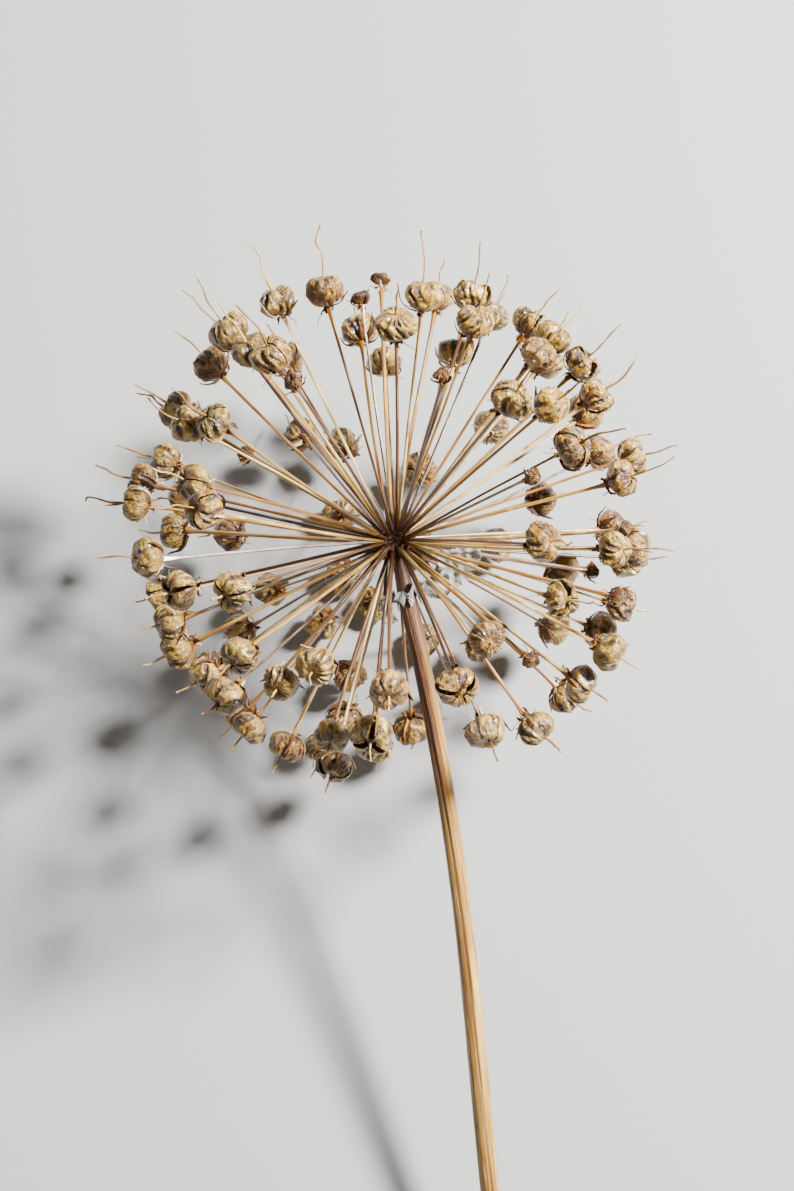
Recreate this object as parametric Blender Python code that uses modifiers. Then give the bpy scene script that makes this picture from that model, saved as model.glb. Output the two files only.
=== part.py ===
"""Dried allium seed head on its cut stem, lying on a flat surface.

A ball of three-lobed seed capsules, each on a thin stalk, grows round a small
receptacle at the top of a bare stem. The papery spathe that once wrapped the bud
is left as a ring and two torn valves under the receptacle. The head rests on its
lowest capsules and on the cut end of the stem.

Metres, +Z up. The stem points towards -Y. Everything is modelled round the middle
of the receptacle and moved at the end, so that the origin is on the surface, under
the middle of the object. Run it with: blender --background --python part.py
"""

import math
import random
from collections import namedtuple

import bmesh
import bpy
from mathutils import Matrix, Vector

# Driving dimensions
MM = 0.001
PAIRS = 55  # cymes, each a forked stalk with two florets
HEAD_HEIGHT = 48.5 * MM  # middle of the receptacle above the surface
STALK_REACH = 45.5 * MM  # middle of the receptacle to a capsule's foot, half way down
REACH_GROWTH = 0.08  # share by which that grows up to the top of the head
CAPSULE_WIDTH = 7.8 * MM
CAPSULE_HEIGHT = 6.2 * MM
STYLE_LENGTH = 9.0 * MM
LOW_STYLES = 0.45  # share of that length left on the florets that point down
STEM_LENGTH = 178 * MM
STEM_TOP_RADIUS = 1.8 * MM
STEM_END_RADIUS = 1.85 * MM
GAP = 0.3 * MM  # between pieces that touch

# How the head is held
STEM_START_LEAN = math.radians(13.9)  # the stem against UP, at the head
STEM_END_LEAN = math.radians(5.3)
STEM_BENDS_OVER = 0.5  # share of the stem along which that changes
HEAD_LEAN = math.radians(11)  # the head's top against UP, the other way
FLORET_NEAREST_STEM = math.radians(28)
OPENING = (math.radians(85), math.radians(-3), math.radians(38))  # polar, azimuth, radius
SPATHE_CLEARANCE = math.radians(9)
SPATHE_ARC = range(98, 171, 9)  # degrees from the top of the head, on its right side

# Florets
SEED = 142
SPLAY = math.radians(9)  # each floret's angle from its cyme's own direction
SPLAY_SPREAD = 0.2
CYME_SPACING = math.radians(21)
FLORET_SPACING = math.radians(10.4)
REACH_SPREAD = 1.8 * MM
STALK_RADIUS = 0.48 * MM
STALK_TAPER = (0.85, 0.95, 1.2)  # its share at the root, the bow and the foot
ROOT_REACH = 3.5 * MM  # middle of the receptacle to the foot of a stalk
ROOT_LIFT = 0.88  # share of a cyme's angle from the top at which it leaves the receptacle
BOW = 0.5 * MM
CAPSULE_TILT = math.radians(9)
SHRUNK_SHARE = 0.08
SHRUNK_SIZE = 0.55
STYLE_RADIUS = 0.21 * MM
STYLE_CLEAR = 0.5 * MM  # lowest that a style reaches above the surface
STYLE_SNAPS_BELOW = 5.0 * MM  # a style is broken off where the capsule's tip is lower

# Receptacle and spathe
RECEPTACLE_RADIUS = ROOT_REACH - 0.45 * MM
STEM_TOP_AT = RECEPTACLE_RADIUS + GAP
RING_AT = 9.6 * MM  # the ring's middle, down the stem
RING_HEIGHT = 2.4 * MM
PAPER = 0.3 * MM

GOLDEN_ANGLE = math.pi * (3 - math.sqrt(5))
STEM_STEPS = 200
STEM_POINTS = 12
STALK_SIDES, CAPSULE_SIDES, STYLE_SIDES = 5, 9, 3
LOBES = 3
LOBE_DEPTH = 0.1
# Rings of a capsule: share of its height, share of its half width
CAPSULE_RINGS = ((0.02, 0.30), (0.20, 0.84), (0.50, 1.0), (0.80, 0.80), (0.97, 0.32))
DIMPLE = (0.84, 0.08)

Floret = namedtuple("Floret", "root bow foot axis twist width height style")


def stem_line():
    """Points down the stem's middle, as (right, up) from the middle of the receptacle."""
    right, up = 0.0, 0.0
    line = [(right, up)]
    step = STEM_LENGTH / STEM_STEPS
    for i in range(STEM_STEPS):
        bent = min(1, i / (STEM_STEPS * STEM_BENDS_OVER))
        lean = STEM_START_LEAN + (STEM_END_LEAN - STEM_START_LEAN) * bent
        right += step * math.sin(lean)
        up -= step * math.cos(lean)
        line.append((right, up))
    return line


def lying_frame():
    """Right, up the head and out of its front, when capsules and cut stem end rest on the surface."""
    drop = -stem_line()[-1][1]
    reach = math.hypot(drop, STEM_END_RADIUS)
    slope = math.asin(HEAD_HEIGHT / reach) - math.atan2(STEM_END_RADIUS, drop)
    right = Vector((1, 0, 0))
    up = Vector((0, math.cos(slope), math.sin(slope)))
    return right, up, right.cross(up)


RIGHT, UP, FRONT = lying_frame()
TOP = UP * math.cos(HEAD_LEAN) - RIGHT * math.sin(HEAD_LEAN)
SIDE = UP * math.sin(HEAD_LEAN) + RIGHT * math.cos(HEAD_LEAN)


def from_top(polar, azimuth=math.pi / 2):
    """Direction at an angle from the head's top; azimuth 0 is its front, 90 degrees its right."""
    across = FRONT * math.cos(azimuth) + SIDE * math.sin(azimuth)
    return TOP * math.cos(polar) + across * math.sin(polar)


def keep_outs(spathe_clearance):
    """Directions that no stalk takes: the stem, a bare patch in front, and the spathe's valve."""
    spathe = [(from_top(math.radians(angle)), spathe_clearance) for angle in SPATHE_ARC]
    opening = (from_top(*OPENING[:2]), OPENING[2])
    return [(-TOP, FLORET_NEAREST_STEM), opening, *spathe]


def spread_apart(directions, spacing, rounds, blocked):
    """Pushes unit vectors apart over the sphere, and out of the blocked directions."""
    for _ in range(rounds):
        for i, here in enumerate(directions):
            push = Vector()
            near = [(other, spacing) for j, other in enumerate(directions) if j != i]
            for other, clearance in near + blocked:
                lack = clearance - here.angle(other)
                if lack > 0:
                    push += (here - other).normalized() * lack * 0.6
            directions[i] = (here + push).normalized()
    return directions


def cyme_directions(rng):
    """Golden-angle spiral from the top of the head down to the stem, a little disturbed."""
    lowest = math.cos(math.pi - FLORET_NEAREST_STEM)
    found = []
    for i in range(PAIRS):
        height = 1 - (i + 0.5) / PAIRS * (1 - lowest)
        polar = math.acos(height) + rng.gauss(0, 0.05)
        found.append(from_top(polar, i * GOLDEN_ANGLE + rng.gauss(0, 0.08)))
    return spread_apart(found, CYME_SPACING, 60, keep_outs(SPATHE_CLEARANCE + SPLAY / 2))


def floret_directions(cymes, rng):
    """Two directions for each cyme, splayed either way from its own."""
    found = []
    for cyme in cymes:
        across = cyme.orthogonal().normalized()
        across.rotate(Matrix.Rotation(rng.uniform(0, math.pi), 3, cyme))
        for way in (1, -1):
            angle = way * SPLAY * (1 + rng.uniform(-1, 1) * SPLAY_SPREAD)
            found.append(cyme * math.cos(angle) + across * math.sin(angle))
    return spread_apart(found, FLORET_SPACING, 60, keep_outs(SPATHE_CLEARANCE))


def resting_reach(reach, direction, width, height):
    """Shortens a stalk whose capsule would go below the surface, so that it rests on it."""
    down = -direction.z
    half = math.hypot(width / 2 * math.sqrt(1 - down * down), height / 2 * down)
    if down <= 0:
        return reach
    return min(reach, (HEAD_HEIGHT - half) / down - height / 2)


def style_path(start, direction, rng):
    """Three points of a withered style, kept above the surface; none where it has snapped."""
    bend = Vector([rng.gauss(0, 0.12) for _ in range(3)])
    whole = min(1, max(0, direction.dot(UP) / 0.5 + 0.6))
    length = STYLE_LENGTH * rng.uniform(0.75, 1.15) * (LOW_STYLES + (1 - LOW_STYLES) * whole)
    middle = start + (direction + bend * 0.3) * length * 0.5
    tip = middle + (direction + bend * 1.6).normalized() * length * 0.5
    if start.z + HEAD_HEIGHT < STYLE_SNAPS_BELOW:
        return []
    floor = STYLE_CLEAR - HEAD_HEIGHT
    return [Vector((p.x, p.y, max(p.z, floor))) for p in (start, middle, tip)]


def grow_florets():
    """Every floret of the head, two for each cyme, round the middle of the receptacle."""
    rng = random.Random(SEED)
    cymes = cyme_directions(rng)
    florets = []
    for i, direction in enumerate(floret_directions(cymes, rng)):
        shrunk = rng.random() < SHRUNK_SHARE
        size = rng.uniform(0.93, 1.05) * (SHRUNK_SIZE if shrunk else 1)
        width = CAPSULE_WIDTH * size
        height = CAPSULE_HEIGHT * size * rng.uniform(0.94, 1.06)
        reach = STALK_REACH * (1 + REACH_GROWTH * direction.dot(TOP))
        reach += rng.uniform(-1, 1) * REACH_SPREAD
        foot = direction * resting_reach(reach, direction, width, height)
        root = TOP.slerp(cymes[i // 2], ROOT_LIFT) * ROOT_REACH
        sway = Vector([rng.gauss(0, 1) for _ in range(3)]).cross(direction).normalized()
        bow = (root + foot) / 2 + sway * BOW * rng.uniform(0.2, 1)
        axis = direction.copy()
        axis.rotate(Matrix.Rotation(rng.uniform(0, 1) * CAPSULE_TILT, 3, sway))
        dimple = foot + axis * height * DIMPLE[0]
        style = [] if shrunk else style_path(dimple, axis, rng)
        twist = rng.uniform(0, 2 * math.pi)
        florets.append(Floret(root, bow, foot, axis, twist, width, height, style))
    return florets


def new_material(name, colour, roughness):
    material = bpy.data.materials.new(name)
    material.use_nodes = True
    shader = material.node_tree.nodes["Principled BSDF"]
    shader.inputs["Base Color"].default_value = (*colour, 1)
    shader.inputs["Roughness"].default_value = roughness
    shader.inputs["Metallic"].default_value = 0
    material.diffuse_color = (*colour, 1)
    return material


def new_object(name, data, material, collection):
    obj = bpy.data.objects.new(name, data)
    data.materials.append(material)
    collection.objects.link(obj)
    return obj


def add_ring(bm, centre, along, radius, sides, lobing=0.0, twist=0.0):
    """A loop of edges round a point of an axis, drawn in at the lobes' grooves."""
    turn = along.to_track_quat("Z", "Y").to_matrix() @ Matrix.Rotation(twist, 3, "Z")
    verts = bmesh.ops.create_circle(bm, segments=sides, radius=radius)["verts"]
    for vert in verts:
        angle = math.atan2(vert.co.x, vert.co.y)
        draw_in = 1 - lobing * (1 + math.cos(LOBES * angle)) / 2
        vert.co = centre + turn @ (vert.co * draw_in)
    return list({edge for vert in verts for edge in vert.link_edges})


def loft(name, rings):
    """One closed mesh through a row of rings, which may differ in their number of sides."""
    bm = bmesh.new()
    loops = [add_ring(bm, *ring) for ring in rings]
    for lower, upper in zip(loops, loops[1:]):
        bmesh.ops.bridge_loops(bm, edges=lower + upper)
    bmesh.ops.holes_fill(bm, edges=loops[0] + loops[-1], sides=0)
    bmesh.ops.recalc_face_normals(bm, faces=bm.faces)
    bmesh.ops.triangulate(bm, faces=bm.faces)
    mesh = bpy.data.meshes.new(name)
    bm.to_mesh(mesh)
    bm.free()
    return mesh


def floret_mesh(name, floret, sunk):
    """Stalk, capsule and style in one closed mesh. Sunk starts the stalk inside its sibling."""
    f = floret
    start = f.root.lerp(f.bow, sunk)
    lower, upper = (f.bow - start).normalized(), (f.foot - f.bow).normalized()
    places = (start, f.bow, f.foot)
    ways = (lower, (lower + upper).normalized(), upper)
    rings = [
        (place, way, STALK_RADIUS * taper * (1 - sunk), STALK_SIDES)
        for place, way, taper in zip(places, ways, STALK_TAPER)
    ]
    for share, radius in CAPSULE_RINGS:
        lobing = LOBE_DEPTH * radius * 1.6
        at = f.foot + f.axis * f.height * share
        rings.append((at, f.axis, f.width / 2 * radius, CAPSULE_SIDES, lobing, f.twist))
    dimple = f.foot + f.axis * f.height * DIMPLE[0]
    rings.append((dimple, f.axis, STYLE_RADIUS, STYLE_SIDES))
    for before, point, radius in zip(f.style, f.style[1:], (0.9, 0.5)):
        rings.append((point, (point - before).normalized(), STYLE_RADIUS * radius, STYLE_SIDES))
    return loft(name, rings)


def make_pair(number, first, second, material, parts, helpers):
    """A cyme: the second floret's stalk forks from the first's, and one body holds both."""
    name = f"floret_pair_{number:02d}"
    sibling = new_object(name + "_sibling", floret_mesh(name, second, 0.03), material, helpers)
    sibling.hide_render = True
    sibling.display_type = "WIRE"
    pair = new_object(name, floret_mesh(name, first, 0.0), material, parts)
    fork = pair.modifiers.new("fork", "BOOLEAN")
    fork.operation = "UNION"
    fork.object = sibling
    return pair


def make_receptacle(material, parts):
    mesh = bpy.data.meshes.new("receptacle")
    bm = bmesh.new()
    bmesh.ops.create_uvsphere(bm, u_segments=16, v_segments=10, radius=RECEPTACLE_RADIUS)
    bm.to_mesh(mesh)
    bm.free()
    obj = new_object("receptacle", mesh, material, parts)
    mesh.shade_smooth()
    return obj


def stem_points(count):
    """Evenly spaced points of the stem, from just under the receptacle to the cut end."""
    line = [RIGHT * right + UP * up for right, up in stem_line()]
    first = math.ceil(STEM_TOP_AT / STEM_LENGTH * STEM_STEPS)
    span = STEM_STEPS - first
    return [line[first + round(span * i / (count - 1))] for i in range(count)]


def make_stem(material, parts):
    curve = bpy.data.curves.new("flower_stem", "CURVE")
    curve.dimensions = "3D"
    curve.bevel_depth = STEM_END_RADIUS
    curve.bevel_resolution = 4
    curve.use_fill_caps = True
    line = stem_points(STEM_POINTS)
    spline = curve.splines.new("POLY")
    spline.points.add(len(line) - 1)
    for i, (point, at) in enumerate(zip(spline.points, line)):
        share = i / (len(line) - 1)
        point.co = (*at, 1)
        point.radius = 1 + (STEM_TOP_RADIUS / STEM_END_RADIUS - 1) * (1 - share)
    return new_object("flower_stem", curve, material, parts)


def along_stem(distance):
    """Turns a drawing with its y axis up the stem, x to the head's right, at that distance down."""
    down = RIGHT * math.sin(STEM_START_LEAN) - UP * math.cos(STEM_START_LEAN)
    columns = (-down.cross(FRONT), -down, FRONT)
    return Matrix.Translation(down * distance) @ Matrix(columns).transposed().to_4x4()


def make_spathe_ring(material, parts):
    """The papery band round the stem, a profile turned about the stem's own line."""
    half = RING_HEIGHT / 2
    inner = STEM_TOP_RADIUS + GAP
    profile = [(inner + 1.0 * MM, half), (inner + PAPER, -half), (inner, -half)]
    profile.append((inner + 0.7 * MM, half))
    mesh = bpy.data.meshes.new("spathe_ring")
    edges = [(i, (i + 1) % len(profile)) for i in range(len(profile))]
    mesh.from_pydata([(x, 0, z) for x, z in profile], edges, [])
    obj = new_object("spathe_ring", mesh, material, parts)
    turn = obj.modifiers.new("turn", "SCREW")
    turn.steps = turn.render_steps = 14
    turn.use_merge_vertices = True
    turn.merge_threshold = 0.01 * MM
    obj.matrix_world = along_stem(RING_AT) @ Matrix.Rotation(-math.pi / 2, 4, "X")
    return obj


def make_valve(name, outline, material, parts):
    """A torn papery flap, drawn flat in the plane of the stem and the head's right."""
    curve = bpy.data.curves.new(name, "CURVE")
    curve.dimensions = "2D"
    curve.fill_mode = "BOTH"
    curve.extrude = PAPER / 2
    spline = curve.splines.new("POLY")
    spline.points.add(len(outline) - 1)
    spline.use_cyclic_u = True
    for point, (x, y) in zip(spline.points, outline):
        point.co = (x * MM, y * MM, 0, 1)
    obj = new_object(name, curve, material, parts)
    obj.matrix_world = along_stem(0)
    return obj


RIGHT_VALVE = [(3.9, -8.9), (3.8, -11.2), (6.4, -12.6), (9.2, -10.8), (11.6, -10.4)]
RIGHT_VALVE += [(14.2, -7.6), (16.0, -6.6), (15.2, -3.2), (12.2, -2.6), (9.0, -4.6), (6.0, -7.6)]
LEFT_VALVE = [(-3.8, -9.0), (-4.4, -11.6), (-3.4, -14.2), (-5.0, -14.8), (-6.0, -12.2), (-5.2, -9.8)]


def stand_on_origin(parts, holder):
    """Moves the whole object so that the origin is under the middle of its box."""
    bpy.context.view_layer.update()
    graph = bpy.context.evaluated_depsgraph_get()
    points = []
    for obj in parts.objects:
        shown = obj.evaluated_get(graph)
        mesh = shown.to_mesh()
        points += [shown.matrix_world @ vert.co for vert in mesh.vertices]
        shown.to_mesh_clear()
    low = Vector([min(p[k] for p in points) for k in range(3)])
    high = Vector([max(p[k] for p in points) for k in range(3)])
    holder.location = (-(low.x + high.x) / 2, -(low.y + high.y) / 2, -low.z)


def main():
    for obj in list(bpy.data.objects):
        bpy.data.objects.remove(obj)
    parts = bpy.data.collections.new("allium_seed_head")
    helpers = bpy.data.collections.new("siblings_joined_by_forks")
    for collection in (parts, helpers):
        bpy.context.scene.collection.children.link(collection)

    straw = new_material("capsule_straw", (0.55, 0.38, 0.16), 0.45)
    brown = new_material("receptacle_brown", (0.16, 0.07, 0.03), 0.7)
    cane = new_material("stem_cane", (0.58, 0.40, 0.20), 0.5)
    paper = new_material("spathe_paper", (0.62, 0.58, 0.50), 0.8)

    florets = grow_florets()
    for i in range(PAIRS):
        first, second = florets[2 * i : 2 * i + 2]
        make_pair(i + 1, first, second, straw, parts, helpers)
    make_receptacle(brown, parts)
    make_stem(cane, parts)
    make_spathe_ring(paper, parts)
    make_valve("spathe_right_valve", RIGHT_VALVE, paper, parts)
    make_valve("spathe_left_valve", LEFT_VALVE, paper, parts)

    holder = bpy.data.objects.new("seed_head", None)
    bpy.context.scene.collection.objects.link(holder)
    for obj in (*parts.objects, *helpers.objects):
        obj.parent = holder
    stand_on_origin(parts, holder)


main()
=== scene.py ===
"""The look of a dried allium seed head that lies on a pale floor.

The florets grow where the CAD model has them: the first functions repeat its rule and its
seed. Each pair of florets is then made again as two ribbed stalks, two papery capsules with
their withered tepals and filaments, and two styles. Receptacle, stem and spathe are made
again in the same way. Lengths are in metres, except in a capsule's own frame and in the
spathe's drawing, which are in millimetres.
"""

import math
import random
from collections import namedtuple

import bpy
import numpy as np
from mathutils import Matrix, Vector


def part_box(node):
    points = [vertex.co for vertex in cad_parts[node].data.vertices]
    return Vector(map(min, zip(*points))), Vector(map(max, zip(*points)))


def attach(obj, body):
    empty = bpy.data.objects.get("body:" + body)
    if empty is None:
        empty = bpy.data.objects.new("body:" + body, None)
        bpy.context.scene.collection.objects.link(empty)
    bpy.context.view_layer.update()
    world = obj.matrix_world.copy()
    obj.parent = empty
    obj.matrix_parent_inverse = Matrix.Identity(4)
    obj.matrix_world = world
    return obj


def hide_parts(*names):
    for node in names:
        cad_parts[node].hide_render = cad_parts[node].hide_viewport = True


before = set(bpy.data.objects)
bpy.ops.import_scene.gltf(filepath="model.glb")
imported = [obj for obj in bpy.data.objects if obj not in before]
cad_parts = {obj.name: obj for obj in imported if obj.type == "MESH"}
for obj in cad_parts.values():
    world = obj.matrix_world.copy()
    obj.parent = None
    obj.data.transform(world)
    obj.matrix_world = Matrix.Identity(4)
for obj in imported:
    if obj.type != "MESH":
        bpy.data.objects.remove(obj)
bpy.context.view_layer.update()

MM = 0.001

# The CAD model's rule for its stem and florets
PAIRS = 55
HEAD_HEIGHT = 48.5 * MM
STALK_REACH = 45.5 * MM
REACH_GROWTH = 0.08
CAPSULE_WIDTH = 7.8 * MM
CAPSULE_HEIGHT = 6.2 * MM
STYLE_LENGTH = 9.0 * MM
LOW_STYLES = 0.45  # share of that length left on the florets that point down
STEM_LENGTH = 178 * MM
STEM_TOP_RADIUS = 1.8 * MM
STEM_END_RADIUS = 1.85 * MM
STEM_START_LEAN = math.radians(13.9)
STEM_END_LEAN = math.radians(5.3)
STEM_BENDS_OVER = 0.5
HEAD_LEAN = math.radians(11)
FLORET_NEAREST_STEM = math.radians(28)
OPENING = (math.radians(85), math.radians(-3), math.radians(38))
SPATHE_CLEARANCE = math.radians(9)
SPATHE_ARC = range(98, 171, 9)
SEED = 142
SPLAY = math.radians(9)
SPLAY_SPREAD = 0.2
CYME_SPACING = math.radians(21)
FLORET_SPACING = math.radians(10.4)
REACH_SPREAD = 1.8 * MM
ROOT_REACH = 3.5 * MM
ROOT_LIFT = 0.88
BOW = 0.5 * MM
CAPSULE_TILT = math.radians(9)
SHRUNK_SHARE = 0.08
SHRUNK_SIZE = 0.55
STYLE_CLEAR = 0.5 * MM
STYLE_SNAPS_BELOW = 5.0 * MM
DIMPLE_HEIGHT = 0.84
GOLDEN_ANGLE = math.pi * (3 - math.sqrt(5))
THIRD = 2 * math.pi / 3
STEM_STEPS = 200

# What the CAD model leaves out
STALK_RADIUS = 0.31 * MM
CLOSED_SHARE = 0.6  # of the capsules; the others have split open
LEAST_OPEN = 0.05
MORE_OPEN = 0.33
SKIN_THICKNESS = 0.16  # mm
TEPALS = 6
HUGGING_TEPALS = 0.45  # share of the tepals that lie against their capsule
KNOB_RADIUS = 3.15 * MM
KNOB_SCALES = 46
FURROW_AT = 0.85  # radians round the stem from its front
# Radians round the stem from its front, where the stem's painted shade is darkest
SHADED_FACE_AT = 0.8
FLOOR_GAP = 0.02 * MM
GRAIN_APART = 40  # mm between the patterns of two pieces whose tones are 0 and 1

# The picture
CAMERA_DISTANCE = 0.62
PICTURE_HEIGHT = 232.2 * MM
HUB_ABOVE_CENTRE = 9.85 * MM
HUB_LEFT_OF_CENTRE = 0.4 * MM
SENSOR = 36  # mm
FLOOR_REACH = 3.0
FLOOR_COLOUR = (0.4, 0.396, 0.387)
WORLD_LIGHT = 0.09
Lamp = namedtuple("Lamp", "right up front distance size power")
LAMPS = {
    "key": Lamp(1.0, 0.7, 0.9, distance=0.8, size=0.16, power=42),
    "fill": Lamp(-1.0, 0.1, 1.2, distance=1.1, size=0.9, power=2.2),
}

Floret = namedtuple("Floret", "root bow foot axis twist width height style shrunk")


def stem_line():
    """Points down the stem's middle, as (right, up) from the middle of the receptacle."""
    right, up = 0.0, 0.0
    line = [(right, up)]
    step = STEM_LENGTH / STEM_STEPS
    for i in range(STEM_STEPS):
        bent = min(1, i / (STEM_STEPS * STEM_BENDS_OVER))
        lean = STEM_START_LEAN + (STEM_END_LEAN - STEM_START_LEAN) * bent
        right += step * math.sin(lean)
        up -= step * math.cos(lean)
        line.append((right, up))
    return line


def lying_frame():
    """Right, up the head and out of its front, as it lies on capsules and on its stem's end."""
    drop = -stem_line()[-1][1]
    reach = math.hypot(drop, STEM_END_RADIUS)
    slope = math.asin(HEAD_HEIGHT / reach) - math.atan2(STEM_END_RADIUS, drop)
    right = Vector((1, 0, 0))
    up = Vector((0, math.cos(slope), math.sin(slope)))
    return right, up, right.cross(up)


RIGHT, UP, FRONT = lying_frame()
TOP = UP * math.cos(HEAD_LEAN) - RIGHT * math.sin(HEAD_LEAN)
SIDE = UP * math.sin(HEAD_LEAN) + RIGHT * math.cos(HEAD_LEAN)


def from_top(polar, azimuth=math.pi / 2):
    """Direction at an angle from the head's top; azimuth 0 is its front, 90 degrees its right."""
    across = FRONT * math.cos(azimuth) + SIDE * math.sin(azimuth)
    return TOP * math.cos(polar) + across * math.sin(polar)


def keep_outs(spathe_clearance):
    """Directions that no stalk takes: the stem, a bare patch in front, and the spathe's valve."""
    spathe = [(from_top(math.radians(angle)), spathe_clearance) for angle in SPATHE_ARC]
    opening = (from_top(*OPENING[:2]), OPENING[2])
    return [(-TOP, FLORET_NEAREST_STEM), opening, *spathe]


def spread_apart(directions, spacing, rounds, blocked):
    """Pushes unit vectors apart over the sphere, and out of the blocked directions."""
    for _ in range(rounds):
        for i, here in enumerate(directions):
            push = Vector()
            near = [(other, spacing) for j, other in enumerate(directions) if j != i]
            for other, clearance in near + blocked:
                lack = clearance - here.angle(other)
                if lack > 0:
                    push += (here - other).normalized() * lack * 0.6
            directions[i] = (here + push).normalized()
    return directions


def cyme_directions(rng):
    """Golden-angle spiral from the top of the head down to the stem, a little disturbed."""
    lowest = math.cos(math.pi - FLORET_NEAREST_STEM)
    found = []
    for i in range(PAIRS):
        height = 1 - (i + 0.5) / PAIRS * (1 - lowest)
        polar = math.acos(height) + rng.gauss(0, 0.05)
        found.append(from_top(polar, i * GOLDEN_ANGLE + rng.gauss(0, 0.08)))
    return spread_apart(found, CYME_SPACING, 60, keep_outs(SPATHE_CLEARANCE + SPLAY / 2))


def floret_directions(cymes, rng):
    """Two directions for each cyme, splayed either way from its own."""
    found = []
    for cyme in cymes:
        across = cyme.orthogonal().normalized()
        across.rotate(Matrix.Rotation(rng.uniform(0, math.pi), 3, cyme))
        for way in (1, -1):
            angle = way * SPLAY * (1 + rng.uniform(-1, 1) * SPLAY_SPREAD)
            found.append(cyme * math.cos(angle) + across * math.sin(angle))
    return spread_apart(found, FLORET_SPACING, 60, keep_outs(SPATHE_CLEARANCE))


def resting_reach(reach, direction, width, height):
    """Shortens a stalk whose capsule would go below the surface, so that it rests on it."""
    down = -direction.z
    half = math.hypot(width / 2 * math.sqrt(1 - down * down), height / 2 * down)
    if down <= 0:
        return reach
    return min(reach, (HEAD_HEIGHT - half) / down - height / 2)


def style_path(start, direction, rng):
    """Three points of a withered style, kept above the surface; none where it has snapped."""
    bend = Vector([rng.gauss(0, 0.12) for _ in range(3)])
    whole = min(1, max(0, direction.dot(UP) / 0.5 + 0.6))
    length = STYLE_LENGTH * rng.uniform(0.75, 1.15) * (LOW_STYLES + (1 - LOW_STYLES) * whole)
    middle = start + (direction + bend * 0.3) * length * 0.5
    tip = middle + (direction + bend * 1.6).normalized() * length * 0.5
    if start.z + HEAD_HEIGHT < STYLE_SNAPS_BELOW:
        return []
    floor = STYLE_CLEAR - HEAD_HEIGHT
    return [Vector((p.x, p.y, max(p.z, floor))) for p in (start, middle, tip)]


def grow_florets():
    """Every floret of the head, two for each cyme, round the middle of the receptacle."""
    rng = random.Random(SEED)
    cymes = cyme_directions(rng)
    florets = []
    for i, direction in enumerate(floret_directions(cymes, rng)):
        shrunk = rng.random() < SHRUNK_SHARE
        size = rng.uniform(0.93, 1.05) * (SHRUNK_SIZE if shrunk else 1)
        width = CAPSULE_WIDTH * size
        height = CAPSULE_HEIGHT * size * rng.uniform(0.94, 1.06)
        reach = STALK_REACH * (1 + REACH_GROWTH * direction.dot(TOP))
        reach += rng.uniform(-1, 1) * REACH_SPREAD
        foot = direction * resting_reach(reach, direction, width, height)
        root = TOP.slerp(cymes[i // 2], ROOT_LIFT) * ROOT_REACH
        sway = Vector([rng.gauss(0, 1) for _ in range(3)]).cross(direction).normalized()
        bow = (root + foot) / 2 + sway * BOW * rng.uniform(0.2, 1)
        axis = direction.copy()
        axis.rotate(Matrix.Rotation(rng.uniform(0, 1) * CAPSULE_TILT, 3, sway))
        dimple = foot + axis * height * DIMPLE_HEIGHT
        style = [] if shrunk else style_path(dimple, axis, rng)
        twist = rng.uniform(0, 2 * math.pi)
        florets.append(Floret(root, bow, foot, axis, twist, width, height, style, shrunk))
    return florets


# Surfaces. A grid holds rows of points; every row goes once round a closed form.


def smoothstep(low, high, x):
    """0 below low, 1 above high, and a soft step between them."""
    t = np.clip((x - low) / (high - low), 0, 1)
    return t * t * (3 - 2 * t)


def scatter(rng, spread):
    return np.array([rng.gauss(0, spread) for _ in range(3)])


def unit(vector):
    return vector / np.linalg.norm(vector, axis=-1, keepdims=True)


def outward(angle):
    return np.array([math.cos(angle), math.sin(angle), 0.0])


def round_axis(radius, angle, level):
    return np.stack([radius * np.cos(angle), radius * np.sin(angle), level], -1)


def lattice(around, along, steps):
    """Angles once round a form, at even steps along it."""
    angles = np.linspace(0, 2 * math.pi, around, endpoint=False)
    return np.meshgrid(angles, np.linspace(*along, steps))


def crinkle(rng, around, along, waves, tightest, seams=False, slope=0.5):
    """Noise of about -1 to 1 that meets itself round a form; seams folds it into sharp creases."""
    total = np.zeros(np.broadcast(around, along).shape)
    for _ in range(waves):
        count = rng.randint(1, tightest)
        slant = rng.uniform(-slope, slope) * tightest
        wave = np.sin(count * around + slant * along + rng.uniform(0, 2 * math.pi))
        total += wave / math.sqrt(waves / 2)
    return 1 - 1.6 * np.abs(total) if seams else total


def rows_along(path, steps):
    """A smooth curve through a few points, at even steps, as an array."""
    path = np.array([tuple(p) for p in path], float)
    first = 2 * path[0] - path[1]
    last = 2 * path[-1] - path[-2]
    p = np.vstack([first, path, last])
    out = []
    for s in np.linspace(0, len(path) - 1, steps):
        i = min(int(s), len(path) - 2)
        t = s - i
        a, b, c, d = p[i : i + 4]
        curve = 2 * b + (c - a) * t + (2 * a - 5 * b + 4 * c - d) * t**2
        out.append((curve + (3 * b - a - 3 * c + d) * t**3) / 2)
    return np.array(out)


def frames_along(path, start=None):
    """Two directions across a path at each of its points, which don't twist along it."""
    ways = unit(np.gradient(path, axis=0))
    side = np.cross(ways[0], (0.31, 0.77, 0.56)) if start is None else np.array(start)
    sides = []
    for way in ways:
        side = unit(side - way * side.dot(way))
        sides.append(side)
    sides = np.array(sides)
    return sides, np.cross(ways, sides)


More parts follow.
